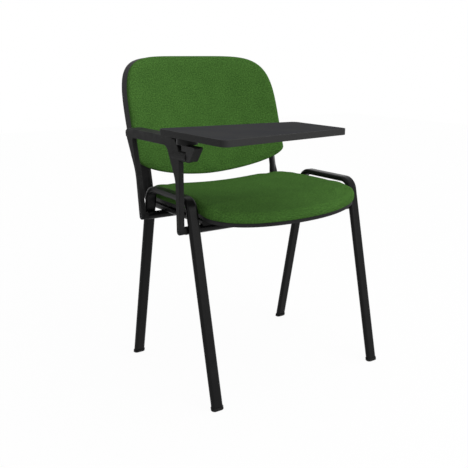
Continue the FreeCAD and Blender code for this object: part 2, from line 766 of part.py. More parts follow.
def arm():
    barrel = cylinder(BARREL_RADIUS, pivot_at(BARREL_FRONT), Y_AXIS, BUSH_REAR + BARREL_TAIL - BARREL_FRONT)
    bosses = [cylinder(BOSS_RADIUS, axis, X_AXIS, -FRAME_WIDTH / 2 - ARM_X) for axis in arm_bolt_axes()]
    body = arm_plate().fuse([arm_pad(), barrel] + bosses).removeSplitter()
    seat_length = BUSH_REAR + BUSH_END_GAP - BARREL_FRONT
    bush_seat = cylinder(BUSH_RADIUS + RUNNING_GAP, pivot_at(BARREL_FRONT), Y_AXIS, seat_length)
    screw_hole = cylinder(STOP_RADIUS + THREAD_GAP, pivot_at(STOP_Y), Z_AXIS * -1, STOP_HOLE)
    bolt_holes = [cylinder(BOLT_HOLE, axis - X_AXIS * LIMB_WIDE, X_AXIS, THROUGH) for axis in arm_bolt_axes()]
    sinks = [cylinder(HEAD_SINK, arm_bolt_seat(axis), X_AXIS * -1, THROUGH) for axis in arm_bolt_axes()]
    return drilled(body, bush_seat, screw_hole, *bolt_holes, *sinks)


def arm_bolts():
    """Button-head bolts through the limbs into the inserts, each with a hexagon socket."""
    solids = []
    for axis in arm_bolt_axes():
        seat = arm_bolt_seat(axis) - X_AXIS * WASHER
        outside = seat - X_AXIS * BOLT_HEAD
        head = cylinder(BOLT_HEAD_RADIUS, outside, X_AXIS, BOLT_HEAD)
        rim = [edge for edge in head.Edges if edge.BoundBox.XMax < outside.x + 1e-3]
        head = head.makeFillet(BOLT_HEAD_ROUND, rim)
        socket = Part.Face(hexagon(outside, Y_AXIS, Z_AXIS, BOLT_SOCKET)).extrude(X_AXIS * BOLT_SOCKET_DEEP)
        shank = cylinder(BOLT_SHANK, seat, X_AXIS, -FRAME_WIDTH / 2 - seat.x)
        mouth = V(-FRAME_WIDTH / 2, axis.y, axis.z)
        thread = cylinder(THREAD_CORE_M8 - THREAD_GAP, mouth, X_AXIS, INSERT_LENGTH - BOLT_END_GAP)
        solids.append(head.cut(socket).fuse([shank, thread]).removeSplitter())
    return Part.makeCompound(solids)


def arm_washers():
    solids = []
    for axis in arm_bolt_axes():
        face = arm_bolt_seat(axis)
        blank = cylinder(WASHER_RADIUS, face, X_AXIS * -1, WASHER)
        solids.append(blank.cut(cylinder(BOLT_HOLE, face, X_AXIS * -1, WASHER)))
    return Part.makeCompound(solids)


def hexagon(centre, first_dir, second_dir, radius):
    """Regular hexagon about centre, radius to its corners."""
    angles = [math.radians(60 * i) for i in range(7)]
    return Part.makePolygon([centre + first_dir * (radius * math.cos(a)) + second_dir * (radius * math.sin(a))
                             for a in angles])


# Tablet pivot: the pin turns in a bush in the arm's barrel, and a screw in its groove limits the turn

FLIP_TRAVEL = 90.0
PIN_FRONT = -148.0
BLOCK_REAR = -135.5
BLOCK_WIDE = 22.0
BLOCK_FRONT_TOP = -176.0
BLOCK_FRONT_FOOT = -149.0
BLOCK_FOOT = 592.5
BLOCK_OFFSET = 1.0
BLOCK_REAR_ROUND = 3.0
BLOCK_FOOT_ROUND = 4.0
BLOCK_NOSE_ROUND = 3.0
BUSH_FLANGE = 11.0
BUSH_FLANGE_THICK = 1.0
PIN_END_GAP = 2.0
GROOVE_SPARE = 4.0
LUG_UNDER = 614.2
HUB_TOP_RADIUS = 15.0
HUB_UNDER_RADIUS = 8.0
HUB_GAP = 1.0


def pivot_bush():
    body = cylinder(BUSH_RADIUS, pivot_at(BARREL_FRONT), Y_AXIS, BUSH_REAR - BARREL_FRONT)
    front = pivot_at(BARREL_FRONT - BUSH_FLANGE_THICK)
    flange = cylinder(BUSH_FLANGE, front, Y_AXIS, BUSH_FLANGE_THICK)
    bore = cylinder(PIN_RADIUS + RUNNING_GAP, front, Y_AXIS, THROUGH)
    screw_hole = cylinder(STOP_RADIUS + THREAD_GAP, pivot_at(STOP_Y), Z_AXIS * -1, STOP_HOLE)
    return drilled(body.fuse(flange).removeSplitter(), bore, screw_hole)


def pivot_pin():
    """Pin pressed into the hinge block, with an arc groove for the stop screw."""
    pin = cylinder(PIN_RADIUS, pivot_at(PIN_FRONT), Y_AXIS, BUSH_REAR - PIN_END_GAP - PIN_FRONT)
    spare = math.degrees(math.asin(STOP_RADIUS / (GROOVE_RADIUS + GROOVE_GAP))) + GROOVE_SPARE
    width = STOP_RADIUS + GROOVE_GAP
    low = PIVOT_Z - BUSH_RADIUS
    high = PIVOT_Z - GROOVE_RADIUS
    corners = [V(PIVOT_X, STOP_Y - width, low), V(PIVOT_X, STOP_Y + width, low)]
    corners += [V(PIVOT_X, STOP_Y + width, high), V(PIVOT_X, STOP_Y - width, high)]
    strip = Part.Face(Part.makePolygon(corners + corners[:1]))
    strip.rotate(pivot_at(STOP_Y), Y_AXIS, -spare)
    return pin.cut(strip.revolve(pivot_at(STOP_Y), Y_AXIS, FLIP_TRAVEL + 2 * spare))


def stop_screw():
    tip = pivot_at(STOP_Y) - Z_AXIS * (GROOVE_RADIUS + GROOVE_GAP)
    return cylinder(STOP_RADIUS, tip, Z_AXIS * -1, BARREL_RADIUS - GROOVE_RADIUS - GROOVE_GAP - STOP_SINK)


def hinge_block():
    """Wedge-shaped block on the pin, with a hub above the barrel for the swivel stud."""
    x = PIVOT_X + BLOCK_OFFSET - BLOCK_WIDE / 2
    outline = [(BLOCK_REAR, BLOCK_FOOT, BLOCK_REAR_ROUND), (BLOCK_FRONT_FOOT, BLOCK_FOOT, BLOCK_FOOT_ROUND)]
    outline += [(BLOCK_FRONT_TOP, LUG_TOP, BLOCK_NOSE_ROUND)]
    outline += [(SWIVEL_Y, LUG_TOP, 0), (SWIVEL_Y, LUG_UNDER, 0), (BLOCK_REAR, LUG_UNDER, 0)]
    body = rounded_face([(V(x, y, z), radius) for y, z, radius in outline]).extrude(X_AXIS * BLOCK_WIDE)
    hub = Part.makeCone(HUB_UNDER_RADIUS, HUB_TOP_RADIUS, LUG_TOP - LUG_UNDER, swivel_at(LUG_UNDER))
    corner = V(SWIVEL_X - REACH / 2, ARM_FRONT - HUB_GAP, LUG_UNDER - REACH / 2)
    clear = Part.makeBox(REACH, REACH, REACH, corner)
    block = body.fuse(hub.cut(clear)).removeSplitter()
    pin_seat = cylinder(PIN_RADIUS, pivot_at(PIN_FRONT), Y_AXIS, BARREL_FRONT - PIN_FRONT)
    stud_seat = cylinder(STUD_RADIUS, swivel_at(LUG_UNDER), Z_AXIS, THROUGH)
    return drilled(block, pin_seat, stud_seat)


# Swivel: the disc under the tablet turns on the stud, held by a spring washer and a lock nut

DISC_RECESS = 13.0
DISC_FLOOR = 634.0
DISC_SCREW_CIRCLE = 19.0
DISC_HEAD_RECESS = 2.8
DISC_EDGE = 2.0
THRUST_RADIUS = 12.0
SPRING_RADIUS = 10.0
SPRING_THICK = 1.2
NUT_RADIUS = 7.5
NUT_HEIGHT = 5.0
STACK_GAP = 0.1
STUD_FOOT = 0.5
STUD_TOP_GAP = 1.5
DISC_SCREW_LENGTH = 22.0
DISC_SCREW_HOLE = 27.0


def swivel_at(z):
    return V(SWIVEL_X, SWIVEL_Y, z)


def ring(outer, inner, z, height):
    return cylinder(outer, swivel_at(z), Z_AXIS, height).cut(cylinder(inner, swivel_at(z), Z_AXIS, height))


def swivel_stud():
    low = LUG_UNDER + STUD_FOOT
    return cylinder(STUD_RADIUS, swivel_at(low), Z_AXIS, TABLET_UNDER - STUD_TOP_GAP - low)


def thrust_washer():
    return ring(THRUST_RADIUS, STUD_RADIUS + RUNNING_GAP, LUG_TOP, DISC_UNDER - LUG_TOP - STACK_GAP)


def spring_washer():
    return ring(SPRING_RADIUS, STUD_RADIUS + RUNNING_GAP, DISC_FLOOR + STACK_GAP, SPRING_THICK)


def swivel_nut():
    base = swivel_at(DISC_FLOOR + STACK_GAP + SPRING_THICK)
    body = Part.Face(hexagon(base, X_AXIS, Y_AXIS, NUT_RADIUS)).extrude(Z_AXIS * NUT_HEIGHT)
    return body.cut(cylinder(STUD_RADIUS, base, Z_AXIS, NUT_HEIGHT))


def disc_screw_places():
    angles = [math.radians(45 + 90 * i) for i in range(4)]
    return [swivel_at(DISC_UNDER) + V(math.cos(a), math.sin(a), 0) * DISC_SCREW_CIRCLE for a in angles]


def swivel_disc():
    disc = cylinder(DISC_RADIUS, swivel_at(DISC_UNDER), Z_AXIS, TABLET_UNDER - DISC_UNDER)
    rim = [edge for edge in disc.Edges if edge.BoundBox.ZMax < DISC_UNDER + 1e-3]
    disc = disc.makeFillet(DISC_EDGE, rim)
    cutters = [cylinder(STUD_RADIUS + RUNNING_GAP, swivel_at(DISC_UNDER), Z_AXIS, THROUGH)]
    cutters.append(cylinder(DISC_RECESS, swivel_at(DISC_FLOOR), Z_AXIS, THROUGH))
    for place in disc_screw_places():
        cutters.append(cylinder(SCREW_SHANK + THREAD_GAP, place, Z_AXIS, THROUGH))
        cutters.append(cylinder(SCREW_HEAD + LAYER_GAP, place, Z_AXIS, DISC_HEAD_RECESS))
    return drilled(disc, *cutters)


def disc_screws():
    return Part.makeCompound([pan_screw(place + Z_AXIS * DISC_HEAD_RECESS, DISC_SCREW_LENGTH, Z_AXIS)
                              for place in disc_screw_places()])


# Tablet: a board with an edge band all round, wider at its outer end

BAND_ROUND = 1.0


def tablet_outline(inset):
    half_outer = TABLET_OUTER_DEEP / 2
    half_inner = TABLET_INNER_DEEP / 2
    corners = [(TABLET_OUTER_X, half_outer, TABLET_TIGHT), (TABLET_OUTER_X, -half_outer, TABLET_ROUND)]
    corners += [(TABLET_INNER_X, -half_inner, TABLET_TIGHT), (TABLET_INNER_X, half_inner, TABLET_ROUND)]
    face = rounded_face([(V(x, TABLET_MID_Y + y, TABLET_UNDER), radius) for x, y, radius in corners])
    return Part.Face(face.OuterWire.makeOffset2D(-inset)) if inset else face


def tablet_board():
    board = tablet_outline(EDGE_BAND + RUNNING_GAP).extrude(Z_AXIS * TABLET_THICK)
    holes = [cylinder(SCREW_SHANK + RUNNING_GAP, place, Z_AXIS, DISC_SCREW_HOLE)
             for place in disc_screw_places()]
    return drilled(board, *holes)


def tablet_edge():
    blank = tablet_outline(0).extrude(Z_AXIS * TABLET_THICK)
    rim = [edge for edge in blank.Edges if edge.BoundBox.ZLength < 1e-3]
    return blank.makeFillet(BAND_ROUND, rim).cut(tablet_outline(EDGE_BAND).extrude(Z_AXIS * TABLET_THICK))


def chair_parts():
    """All nodes by name, in the chair's building position."""
    frame_bar = side_bar(0)
    frame = frame_bar.cut(side_bar(OVAL_WALL))
    upright_full = upright_bar(0)
    bolt_holes = [cylinder(SEAT_BOLT_HOLE, place - Z_AXIS * OVAL_THIN, Z_AXIS, THROUGH)
                  for place in seat_bolt_places()]
    lock_start = upright_screw_places()[1] - Y_AXIS * UPRIGHT_SCREW_REACH
    lock_hole = cylinder(SCREW_SHANK + THREAD_GAP, lock_start, Y_AXIS, THROUGH)
    upright = drilled(upright_full, upright_bar(-OVAL_WALL), *bolt_holes, lock_hole)
    welded_to = [frame_bar, mirrored(frame_bar), upright_full, mirrored(upright_full)]
    plug = runner_plug()
    parts = {
        "left_side_frame": frame,
        "right_side_frame": mirrored(frame),
        "front_cross_tube": cross_tube(FRONT_CROSS_Y, welded_to),
        "rear_cross_tube": cross_tube(REAR_CROSS_Y, welded_to),
        "tube_inserts": tube_inserts(),
        "left_back_upright": upright,
        "right_back_upright": mirrored(upright),
        "runner_plugs": Part.makeCompound([plug, mirrored(plug)]),
    }
    for name, leg_y, lean in (("front", front_leg_y, FRONT_LEG_LEAN), ("rear", rear_leg_y, -REAR_LEG_LEAN)):
        parts[name + "_left_foot"] = foot(leg_y, lean)
        parts[name + "_right_foot"] = mirrored(parts[name + "_left_foot"])
    makers = [seat_shell, seat_board, seat_foam, seat_cover, seat_tee_nuts, seat_bolts]
    makers += [back_shell, back_board, back_foam, back_cover, back_screws, upright_screws]
    makers += [arm, arm_bolts, arm_washers, pivot_bush, pivot_pin, stop_screw, hinge_block]
    makers += [swivel_stud, thrust_washer, swivel_disc, spring_washer, swivel_nut, disc_screws]
    makers += [tablet_board, tablet_edge]
    for maker in makers:
        parts[maker.__name__] = maker()
    return parts


def export(parts):
    """Move the chair so that the middle of its box stands on the origin, and write one file for each node."""
    os.makedirs("parts", exist_ok=True)
    box = Part.makeCompound(list(parts.values())).optimalBoundingBox(False)
    shift = V(-box.Center.x, -box.Center.y, -box.ZMin)
    print("shift to the origin", [round(value, 3) for value in shift])
    print("size", round(box.XLength, 2), round(box.YLength, 2), round(box.ZLength, 2))
    for name, shape in parts.items():
        shape.translate(shift)
        print(name, shape.isValid(), len(shape.Solids), round(shape.Volume / 1000, 2))
        shape.exportStep("parts/" + name + ".step")


export(chair_parts())
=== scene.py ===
import math
import bpy
import numpy as np
from mathutils import Matrix, Vector


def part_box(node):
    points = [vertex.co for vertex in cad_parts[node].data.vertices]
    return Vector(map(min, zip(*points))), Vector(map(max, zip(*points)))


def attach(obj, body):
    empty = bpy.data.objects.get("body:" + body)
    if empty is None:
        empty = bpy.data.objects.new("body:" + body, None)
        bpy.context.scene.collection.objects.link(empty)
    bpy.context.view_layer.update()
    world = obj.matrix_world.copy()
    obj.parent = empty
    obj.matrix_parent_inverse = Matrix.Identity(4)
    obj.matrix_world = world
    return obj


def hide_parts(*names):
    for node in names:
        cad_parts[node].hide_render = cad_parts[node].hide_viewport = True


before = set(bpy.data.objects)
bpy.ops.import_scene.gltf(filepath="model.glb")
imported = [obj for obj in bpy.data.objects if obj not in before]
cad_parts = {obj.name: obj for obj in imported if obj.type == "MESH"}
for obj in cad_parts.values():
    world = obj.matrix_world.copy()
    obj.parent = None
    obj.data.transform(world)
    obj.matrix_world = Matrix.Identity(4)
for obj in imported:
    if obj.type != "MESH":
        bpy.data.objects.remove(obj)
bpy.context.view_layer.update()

# Steel frame: two side frames and two back uprights of flat-oval tube, and two round cross tubes,
# bent cold, welded together and then powder coated black in one go.
# The coat is a thin satin skin with a fine orange-peel surface.


class Flow:
    """A socket of a material; arithmetic on it adds Math nodes to that material."""

    def __init__(self, socket):
        self.socket = socket

    def node(self, kind, settings, sockets, out=0):
        """Adds a node: its settings first, then the value or link of each socket; returns one output."""
        tree = self.socket.id_data
        made = tree.nodes.new("ShaderNode" + kind)
        for name, value in settings.items():
            if name == "stops":
                ramp_stops(made.color_ramp, value)
            else:
                setattr(made, name, value)
        for name, value in sockets.items():
            if isinstance(value, Flow):
                tree.links.new(value.socket, made.inputs[name])
            else:
                made.inputs[name].default_value = value
        return Flow(made.outputs[out])

    def maths(self, operation, first, second=0.0):
        return self.node("Math", {"operation": operation}, {0: first, 1: second})

    def __add__(self, other):
        return self.maths("ADD", self, other)

    def __radd__(self, other):
        return self.maths("ADD", other, self)

    def __sub__(self, other):
        return self.maths("SUBTRACT", self, other)

    def __rsub__(self, other):
        return self.maths("SUBTRACT", other, self)

    def __mul__(self, other):
        return self.maths("MULTIPLY", self, other)

    def __rmul__(self, other):
        return self.maths("MULTIPLY", other, self)

    def sine(self):
        return self.maths("SINE", self)

    def size(self):
        return self.maths("ABSOLUTE", self)

    def between(self, low, high):
        """0 below low, 1 above high, a smooth step between them."""
        return self.node("MapRange", {"interpolation_type": "SMOOTHSTEP"},
                         {"Value": self, "From Min": low, "From Max": high})

    def axis(self, name):
        return self.node("SeparateXYZ", {}, {"Vector": self}, name)

    def noise(self, grain, detail=2.0, stretch=(1, 1, 1)):
        """Noise from 0 to 1 whose lumps are about grain metres across."""
        place = self.node("Mapping", {}, {"Vector": self, "Scale": stretch})
        return self.node("TexNoise", {}, {"Vector": place, "Scale": 1 / grain, "Detail": detail}, "Fac")

    def mix(self, first, second):
        """From the first colour to the second as this value goes from 0 to 1."""
        return self.node("Mix", {"data_type": "RGBA"}, {"Factor": self, 6: first, 7: second}, 2)

    def bump(self, depth, strength=1.0):
        """This value as a height of at most depth metres."""
        return self.node("Bump", {}, {"Height": self, "Distance": depth, "Strength": strength}, "Normal")


def ramp_stops(ramp, stops):
    """Gives a colour ramp its stops, each a place and a colour."""
    for element, (place, colour) in zip([ramp.elements[0], ramp.elements[1]], (stops[0], stops[-1])):
        element.position = place
        element.color = colour
    for place, colour in stops[1:-1]:
        ramp.elements.new(place).color = colour


def new_finish(name, coordinates="Object", **constants):
    """A material with one shader: the material, a function that feeds the shader, and the coordinates."""
    made = bpy.data.materials.new(name)
    made.use_nodes = True
    tree = made.node_tree
    shader = tree.nodes["Principled BSDF"]
    for socket, value in constants.items():
        shader.inputs[socket.replace("_", " ")].default_value = value
    place = Flow(tree.nodes.new("ShaderNodeTexCoord").outputs[coordinates])

    def feed(**links):
        for socket, flow in links.items():
            tree.links.new(flow.socket, shader.inputs[socket.replace("_", " ")])

    return made, feed, place


def dress(finish, *nodes):
    """Gives CAD nodes a finish."""
    for name in nodes:
        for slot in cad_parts[name].material_slots:
            slot.material = finish


COAT_BLACK = (0.0052, 0.0052, 0.0054, 1)
COAT_WORN = (0.0082, 0.0082, 0.0084, 1)
PEEL = 0.0016
PEEL_DEPTH = 0.00012
RUB = 0.05

coat, feed_coat, at = new_finish("powder_coat", Specular_IOR_Level=0.12)
rubbed = at.noise(RUB, 5.0).between(0.52, 0.78)
peel = at.noise(PEEL, 1.0)
feed_coat(Base_Color=rubbed.mix(COAT_BLACK, COAT_WORN),
          Roughness=0.30 + 0.08 * rubbed + 0.06 * peel,
          Normal=peel.bump(PEEL_DEPTH, 0.5))
dress(coat, "left_side_frame", "right_side_frame", "front_cross_tube", "rear_cross_tube",
      "left_back_upright", "right_back_upright")

# Fasteners: the bolts, screws, nuts, washers and threaded inserts.
# Turned or stamped steel with a bright zinc plating, a little brushed and dulled by handling.

ZINC_BRIGHT = (0.62, 0.62, 0.60, 1)
ZINC_DULL = (0.40, 0.41, 0.41, 1)
ZINC_SPOT = 0.003
LATHE_LINE = 0.0006
LATHE_DEPTH = 0.00003

zinc, feed_zinc, at = new_finish("zinc_plate", Metallic=1.0)
dulled = at.noise(ZINC_SPOT, 4.0)
turned = at.noise(LATHE_LINE, 2.0, (1, 1, 6))
feed_zinc(Base_Color=dulled.mix(ZINC_BRIGHT, ZINC_DULL),
          Roughness=0.26 + 0.20 * dulled,
          Normal=turned.bump(LATHE_DEPTH, 0.4))
dress(zinc, "tube_inserts", "seat_tee_nuts", "back_screws", "upright_screws", "pivot_pin",
      "stop_screw", "swivel_stud", "thrust_washer", "spring_washer", "swivel_nut", "disc_screws")

# Arm bolts, their washers and the seat bolts: steel with a black oxide finish, dipped and oiled,
# so they hardly show on the black frame. The edges are a little bare.

OXIDE_BLACK = (0.016, 0.016, 0.017, 1)
OXIDE_BARE = (0.06, 0.06, 0.062, 1)
BARE_SPOT = 0.002

oxide, feed_oxide, at = new_finish("black_oxide", Metallic=0.6, Specular_IOR_Level=0.1)
bare = at.noise(BARE_SPOT, 4.0).between(0.5, 0.8)
feed_oxide(Base_Color=bare.mix(OXIDE_BLACK, OXIDE_BARE), Roughness=0.42 + 0.15 * bare)
dress(oxide, "arm_bolts", "arm_washers", "seat_bolts")

# Feet and runner plugs: moulded black polypropylene, pushed into the open tube ends.
# The soles are scuffed grey by the floor.

PLASTIC_BLACK = (0.012, 0.012, 0.012, 1)
SOLE_GREY = (0.045, 0.044, 0.042, 1)
SCUFF_HEIGHT = 0.006
SCUFF = 0.004
SOLE_GRAIN = 0.0009
SOLE_GRAIN_DEPTH = 0.00010

sole, feed_sole, at = new_finish("foot_plastic", Specular_IOR_Level=0.1)
height = at.axis("Z")
scuffed = (1 - height.between(0.0, SCUFF_HEIGHT)) * at.noise(SCUFF, 5.0).between(0.35, 0.7)
grain = at.noise(SOLE_GRAIN, 3.0)
feed_sole(Base_Color=scuffed.mix(PLASTIC_BLACK, SOLE_GREY),
          Roughness=0.46 + 0.25 * scuffed + 0.1 * grain,
          Normal=grain.bump(SOLE_GRAIN_DEPTH, 0.5))
dress(sole, "front_left_foot", "front_right_foot", "rear_left_foot", "rear_right_foot", "runner_plugs")

# Seat and back shells: thin black polypropylene trays, injection moulded with a fine leather-like
# texture; the seat's is bolted up with the board and the back's is pushed over the uprights.

SHELL_BLACK = (0.016, 0.016, 0.0165, 1)
SHELL_GREY = (0.028, 0.028, 0.0285, 1)
PEBBLES_PER_METRE = 900.0
PEBBLE_DEPTH = 0.00016
SHELL_CLOUD = 0.06

shell, feed_shell, at = new_finish("shell_plastic", Specular_IOR_Level=0.08)
pebble = at.node("TexVoronoi", {"feature": "SMOOTH_F1"},
                 {"Vector": at, "Scale": PEBBLES_PER_METRE}, "Distance")
cloudy = at.noise(SHELL_CLOUD, 4.0)
feed_shell(Base_Color=cloudy.between(0.3, 0.8).mix(SHELL_BLACK, SHELL_GREY),
           Roughness=0.48 + 0.12 * cloudy,
           Normal=pebble.bump(PEBBLE_DEPTH, 0.6))
dress(shell, "seat_shell", "back_shell")

# Boards: the seat's and the back's beech plywood, glued up from veneers in a curved press.
# Both are hidden between shell and foam.

WOOD_PALE = (0.56, 0.38, 0.22, 1)
WOOD_DARK = (0.40, 0.25, 0.13, 1)
FIGURE = 0.006
FIGURE_DEPTH = 0.0002

wood, feed_wood, at = new_finish("beech_ply", Roughness=0.6)
figure = at.noise(FIGURE, 6.0, (0.08, 1, 1))
feed_wood(Base_Color=figure.between(0.3, 0.7).mix(WOOD_PALE, WOOD_DARK),
          Normal=figure.bump(FIGURE_DEPTH, 0.4))
dress(wood, "seat_board", "back_board")

# Seat pad: cut foam on the board under one piece of green woven wool cloth, drawn over the edge and
# stapled underneath, so the top is a tight skin that swells a little and rolls down at the front.


FINE_STEPS = 400


def even_angles(outline, side):
    """Angles round an outline, from a corner, whose points are evenly spaced along each quarter."""
    spread = []
    for quarter in range(4):
        start = np.pi / 4 + quarter * np.pi / 2
        fine = np.linspace(start, start + np.pi / 2, FINE_STEPS)
        steps = np.hypot(*np.diff(outline(fine, 0.0), axis=0).T)
        travel = np.concatenate([[0.0], np.cumsum(steps)])
        spread.append(np.interp(np.arange(side) / side * travel[-1], travel, fine))
    return np.concatenate(spread)


def superellipse(angles, inset, half, low, high, low_power, high_power):
    """Points of an outline with its own length and power below and above its widest line.

    Each side is half or length less the inset, times the cosine or sine raised to two over the power.
    """
    along, across = np.sin(angles), np.cos(angles)
    power = np.where(along < 0, low_power, high_power)
    length = np.where(along < 0, low, high) - inset
    return np.column_stack([(half - inset) * np.sign(across) * np.abs(across) ** (2 / power),
                            length * np.sign(along) * np.abs(along) ** (2 / power)])


def fill_ring(ring):
    """Coons patch inside a closed ring of four equal runs.

    A point is the blend of the two runs along, plus the blend of the two runs across, less the blend
    of the four corners.
    """
    side = len(ring) // 4
    closed = np.vstack([ring, ring[:1]])
    top = closed[:side + 1][::-1]
    left = closed[side:2 * side + 1][::-1]
    bottom = closed[2 * side:3 * side + 1]
    right = closed[3 * side:]
    u = np.linspace(0, 1, side + 1)[None, :, None]
    v = np.linspace(0, 1, side + 1)[:, None, None]
    across = (1 - v) * bottom[None] + v * top[None]
    along = (1 - u) * left[:, None] + u * right[:, None]
    corners = ((1 - u) * (1 - v) * bottom[0] + u * (1 - v) * bottom[-1]
               + (1 - u) * v * top[0] + u * v * top[-1])
    return across + along - corners


def grid_faces(rows, columns, start, wrap):
    """Corner numbers of the quads of a grid whose columns close up when wrap is true."""
    row, column = np.meshgrid(np.arange(rows - 1), np.arange(columns if wrap else columns - 1), indexing="ij")
    following = (column + 1) % columns
    quads = [row * columns + column, row * columns + following,
             (row + 1) * columns + following, (row + 1) * columns + column]
    return start + np.stack(quads, -1).reshape(-1, 4)


def pad_parts(outline, insets, heights, side):
    """Plan points, heights and flat cloth places of a pad: floor, rolled edge and top, as three grids.

    The edge is the profile of insets and heights carried round the outline. The floor and the top fill
    its first and last ring. The cloth place is the last ring pushed outwards by the way along the profile.
    """
    angles = even_angles(outline, side)
    rings = np.stack([outline(angles, inset) for inset in insets])
    floor, top = fill_ring(rings[0]), fill_ring(rings[-1])
    steps = np.hypot(np.diff(insets), np.diff(heights))
    travel = np.concatenate([np.cumsum(steps[::-1])[::-1], [0.0]])
    tangent = np.roll(rings[-1], -1, 0) - np.roll(rings[-1], 1, 0)
    outward = np.column_stack([tangent[:, 1], -tangent[:, 0]])
    outward /= np.linalg.norm(outward, axis=1, keepdims=True)
    edge_cloth = rings[-1][None] + travel[:, None, None] * outward[None]
    plan = np.concatenate([floor.reshape(-1, 2), rings.reshape(-1, 2), top.reshape(-1, 2)])
    cloth = np.concatenate([floor.reshape(-1, 2), edge_cloth.reshape(-1, 2), top.reshape(-1, 2)])
    level = np.concatenate([np.full(floor.shape[0] ** 2, heights[0]),
                            np.repeat(heights, len(angles)),
                            np.full(top.shape[0] ** 2, heights[-1])])
    inside = floor.shape[0]
    edge_start = inside ** 2
    top_start = edge_start + rings.shape[0] * rings.shape[1]
    faces = np.concatenate([grid_faces(inside, inside, 0, False)[:, ::-1],
                            grid_faces(len(insets), len(angles), edge_start, True),
                            grid_faces(inside, inside, top_start, False)])
    return plan, level, cloth, faces


def pad_object(name, points, cloth, faces):
    """A welded mesh object with the cloth places as its UV map, and the kept points' numbers."""
    kept, first, number = np.unique(np.round(points, 6), axis=0, return_index=True, return_inverse=True)
    faces = number.reshape(-1)[faces]
    mesh = bpy.data.meshes.new(name)
    mesh.from_pydata(points[first].tolist(), [], faces.tolist())
    weave = mesh.uv_layers.new(name="weave")
    corner = np.empty(len(mesh.loops), np.int32)
    mesh.loops.foreach_get("vertex_index", corner)
    weave.data.foreach_set("uv", cloth[first][corner].astype(np.float32).ravel())
    mesh.shade_smooth()
    made = bpy.data.objects.new(name, mesh)
    bpy.context.scene.collection.objects.link(made)
    return made, first


CLOTH_QUALITY = 5
COVER_PRESSURE = 4.0
COVER_STIFFNESS = 5.0
SWELL_FRAMES = 20
LOOSE_SLOPE = 2
LOOSE_START = 0.6


def swell(pad, level, cap):
    """Blows the upper part of the cover up with cloth simulation; no point moves further than cap.

    A point is held fully below LOOSE_START / LOOSE_SLOPE of the pad's height, and less and less above it.
    """
    loose = np.clip(level / level.max() * LOOSE_SLOPE - LOOSE_START, 0, 1)
    held = pad.vertex_groups.new(name="stapled")
    for share in np.unique(loose[loose < 1]):
        held.add(np.flatnonzero(loose == share).tolist(), float(1 - share), "REPLACE")
    before = np.empty(len(pad.data.vertices) * 3, np.float32)
    pad.data.vertices.foreach_get("co", before)
    cloth = pad.modifiers.new("cover", "CLOTH")
    cloth.settings.quality = CLOTH_QUALITY
    cloth.settings.vertex_group_mass = "stapled"
    cloth.settings.use_pressure = True
    cloth.settings.uniform_pressure_force = COVER_PRESSURE
    cloth.settings.bending_stiffness = COVER_STIFFNESS
    cloth.settings.effector_weights.gravity = 0.0
    for number in range(1, SWELL_FRAMES + 1):
        bpy.context.scene.frame_set(number)
    seen = pad.evaluated_get(bpy.context.evaluated_depsgraph_get())
    after = np.empty_like(before)
    seen.data.vertices.foreach_get("co", after)
    pad.modifiers.remove(cloth)
    pad.vertex_groups.remove(held)
    bpy.context.scene.frame_set(1)
    moved = (after - before).reshape(-1, 3)
    way = np.linalg.norm(moved, axis=1, keepdims=True)
    moved *= cap * np.tanh(way / cap) / np.maximum(way, 1e-9)
    pad.data.vertices.foreach_set("co", (before.reshape(-1, 3) + moved).astype(np.float32).ravel())
    pad.data.update()


def refine(pad):
    """Smooths a pad by one step of subdivision."""
    smooth = pad.modifiers.new("finer", "SUBSURF")
    smooth.levels = smooth.render_levels = 1


def rolled_edge(depth, low, reach, under, low_steps, high_steps):
    """Insets and heights of a rolled edge, from under the pad round to its top.

    Below the widest place the profile is a quarter ellipse of under by low, and above it one of reach
    by the rest.
    """
    below = np.linspace(-np.pi / 2, 0, low_steps + 1)[:-1]
    above = np.linspace(0, np.pi / 2, high_steps + 1)
    insets = np.concatenate([under * (1 - np.cos(below)), reach * (1 - np.cos(above))])
    heights = np.concatenate([low * (1 + np.sin(below)), low + (depth - low) * np.sin(above)])
    return insets, heights


THREAD = 0.0016
FUZZ = 0.0009
FLECK = 0.0034
CLOUD = 0.05
WEAVE_DEPTH = 0.0005
GREEN_MID = (0.052, 0.133, 0.0255, 1)
GREEN_LIGHT = (0.080, 0.196, 0.0385, 1)
GREEN_DARK = (0.031, 0.081, 0.0160, 1)


def woven_wool():
    """Plain weave in a mixed green yarn: bowed warp and weft threads, flecks, fuzz and soft clouding."""
    made, feed, at = new_finish("green_wool", "UV", Specular_IOR_Level=0.0, Sheen_Weight=0.04,
                                Sheen_Roughness=0.6, Sheen_Tint=(0.55, 0.85, 0.4, 1))
    warp = (at.axis("X") * (math.pi / THREAD)).sine().size()
    weft = (at.axis("Y") * (math.pi / THREAD)).sine().size()
    over = at.node("TexChecker", {}, {"Vector": at, "Scale": 1 / THREAD}, "Fac")
    thread = warp * over + weft * (1 - over)
    fuzz = at.noise(FUZZ, 3.0)
    fleck = at.noise(FLECK, 3.0).between(0.36, 0.66)
    cloud = at.noise(CLOUD, 3.0).between(0.3, 0.7)
    light = fleck * 0.55 + cloud * 0.10 + thread * 0.20 + fuzz * 0.15
    colour = light.node("ValToRGB", {"stops": [(0.15, GREEN_DARK), (0.5, GREEN_MID), (0.9, GREEN_LIGHT)]},
                        {"Fac": light})
    feed(Base_Color=colour, Roughness=0.82 + 0.14 * fuzz,
         Normal=(thread * 0.6 + fuzz * 0.4).bump(WEAVE_DEPTH, 0.55))
    return made


wool = woven_wool()

